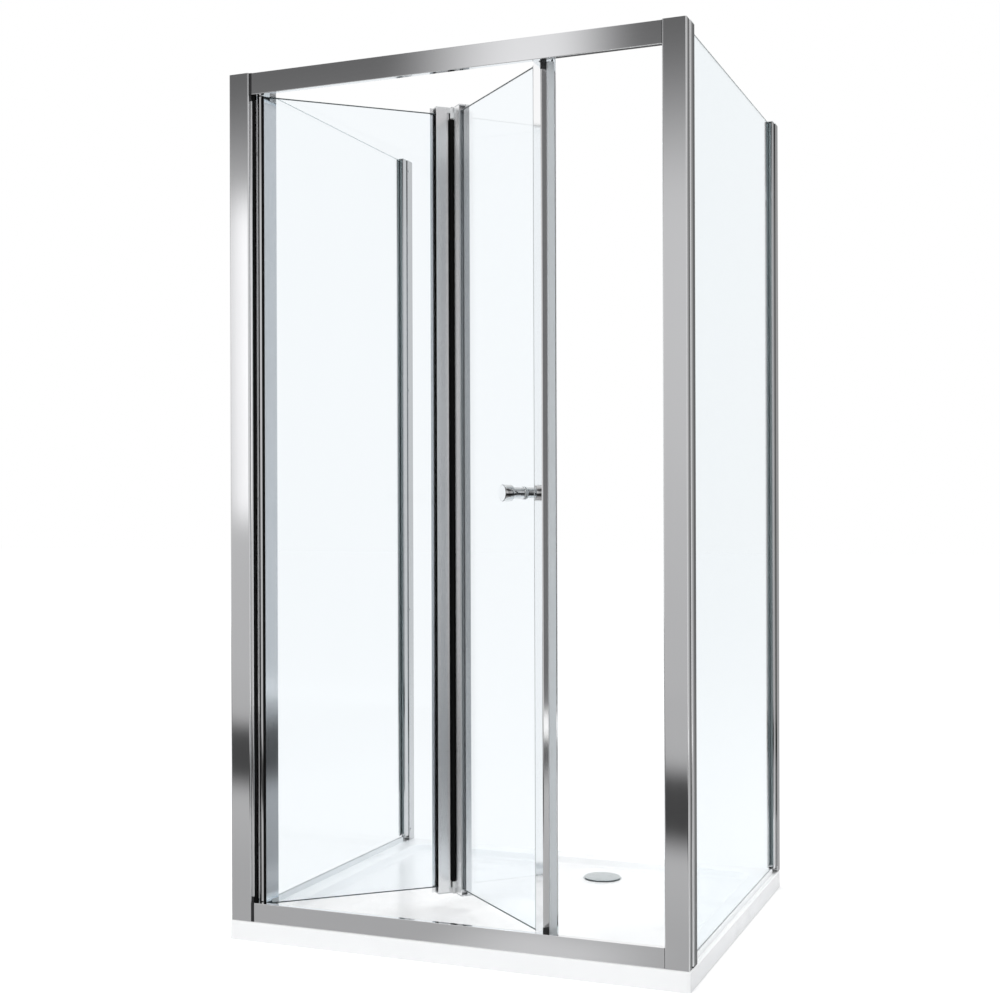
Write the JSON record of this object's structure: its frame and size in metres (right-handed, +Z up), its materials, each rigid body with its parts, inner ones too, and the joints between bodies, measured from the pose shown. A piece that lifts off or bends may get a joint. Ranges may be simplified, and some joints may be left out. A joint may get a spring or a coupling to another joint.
{
  "type": "shower enclosure with folding door",
  "caption": "Square shower enclosure: white tray with offset waste, chrome posts and rails, clear side panels and a two-leaf glass door that folds inward along a guide track.",
  "frame": {"origin": "centre of the tray's underside", "axes": "+X to the right seen from outside the door, -Y out of the door, +Y towards the wall, +Z up"},
  "size_m": [1, 0.9, 1.84],
  "materials": {
    "chrome": "bright polished extrusions",
    "glass": "clear 6 mm toughened glass",
    "tray_white": "gloss white",
    "rubber": "black, matt",
    "black_plastic": "black, low sheen",
    "clear_plastic": "translucent, pale",
    "pale_plastic": "pale grey",
    "steel": "stainless steel"
  },
  "bodies": {
    "frame": {"shower_tray": "tray_white", "waste_flange": "chrome", "waste_seal": "rubber", "left_corner_post": "chrome", "right_corner_post": "chrome", "post_caps": "chrome", "header_rail": "chrome", "sill_rail": "chrome", "channel_feet": "black_plastic", "corner_brackets": "black_plastic", "hinge_jamb": "chrome", "strike_jamb": "chrome", "jamb_seal": "rubber", "strike_magnet": "rubber", "pivot_block_top": "black_plastic", "pivot_block_bottom": "black_plastic", "frame_screws": "steel", "setting_blocks": "clear_plastic", "channel_caps": "pale_plastic", "profile_screws": "steel", "left_panel_glass": "glass", "left_front_channel": "chrome", "left_glazing_profile": "chrome", "left_wall_channel": "chrome", "left_panel_gaskets": "rubber", "left_bottom_seal": "clear_plastic", "right_panel_glass": "glass", "right_front_channel": "chrome", "right_glazing_profile": "chrome", "right_wall_channel": "chrome", "right_panel_gaskets": "rubber", "right_bottom_seal": "clear_plastic"},
    "leaf_1": {"leaf_1_glass": "glass", "pivot_stile": "chrome", "fold_stile_1": "chrome", "leaf_1_gaskets": "rubber", "leaf_1_caps": "pale_plastic", "pivot_glass_tape": "clear_plastic", "pivot_pins": "steel", "fold_pins": "steel", "fold_gasket_1": "rubber"},
    "leaf_2": {"leaf_2_glass": "glass", "fold_stile_2": "chrome", "closing_stile": "chrome", "leaf_2_gaskets": "rubber", "leaf_2_fold_caps": "pale_plastic", "closing_stile_caps": "black_plastic", "closing_seal": "clear_plastic", "fold_gasket_2": "rubber", "guide_pins": "steel", "knob_outer": "chrome", "knob_inner": "chrome", "knob_washers": "clear_plastic", "knob_stud": "steel"},
    "guide_top": {"guide_shoe_top": "black_plastic"},
    "guide_bottom": {"guide_shoe_bottom": "black_plastic"},
    "waste_cover": {"waste_cover": "chrome"}
  },
  "joints": [
    {"name": "door_fold", "type": "hinge", "parent": "frame", "child": "leaf_1", "pos_m": [-0.433, -0.415, 0.94], "axis": [0, 0, 1], "range_deg": [-44, 36]},
    {"name": "fold_hinge", "type": "hinge", "parent": "leaf_1", "child": "leaf_2", "pos_m": [-0.1145, -0.12689, 0.94], "axis": [0, 0, 1], "range_deg": [-72, 88]},
    {"name": "guide_top_turn", "type": "hinge", "parent": "leaf_2", "child": "guide_top", "pos_m": [0.204, -0.415, 1.815], "axis": [0, 0, 1], "range_deg": [-44, 36]},
    {"name": "guide_bottom_turn", "type": "hinge", "parent": "leaf_2", "child": "guide_bottom", "pos_m": [0.204, -0.415, 0.05], "axis": [0, 0, 1], "range_deg": [-44, 36]},
    {"name": "cover_lift", "type": "slide", "parent": "frame", "child": "waste_cover", "axis": [0, 0, 1], "range_m": [0, 0.06]}
  ],
  "couplings": [
    {"joint": "fold_hinge", "follows": "door_fold", "ratio": -2},
    {"joint": "guide_top_turn", "follows": "door_fold", "ratio": 1},
    {"joint": "guide_bottom_turn", "follows": "door_fold", "ratio": 1}
  ]
}
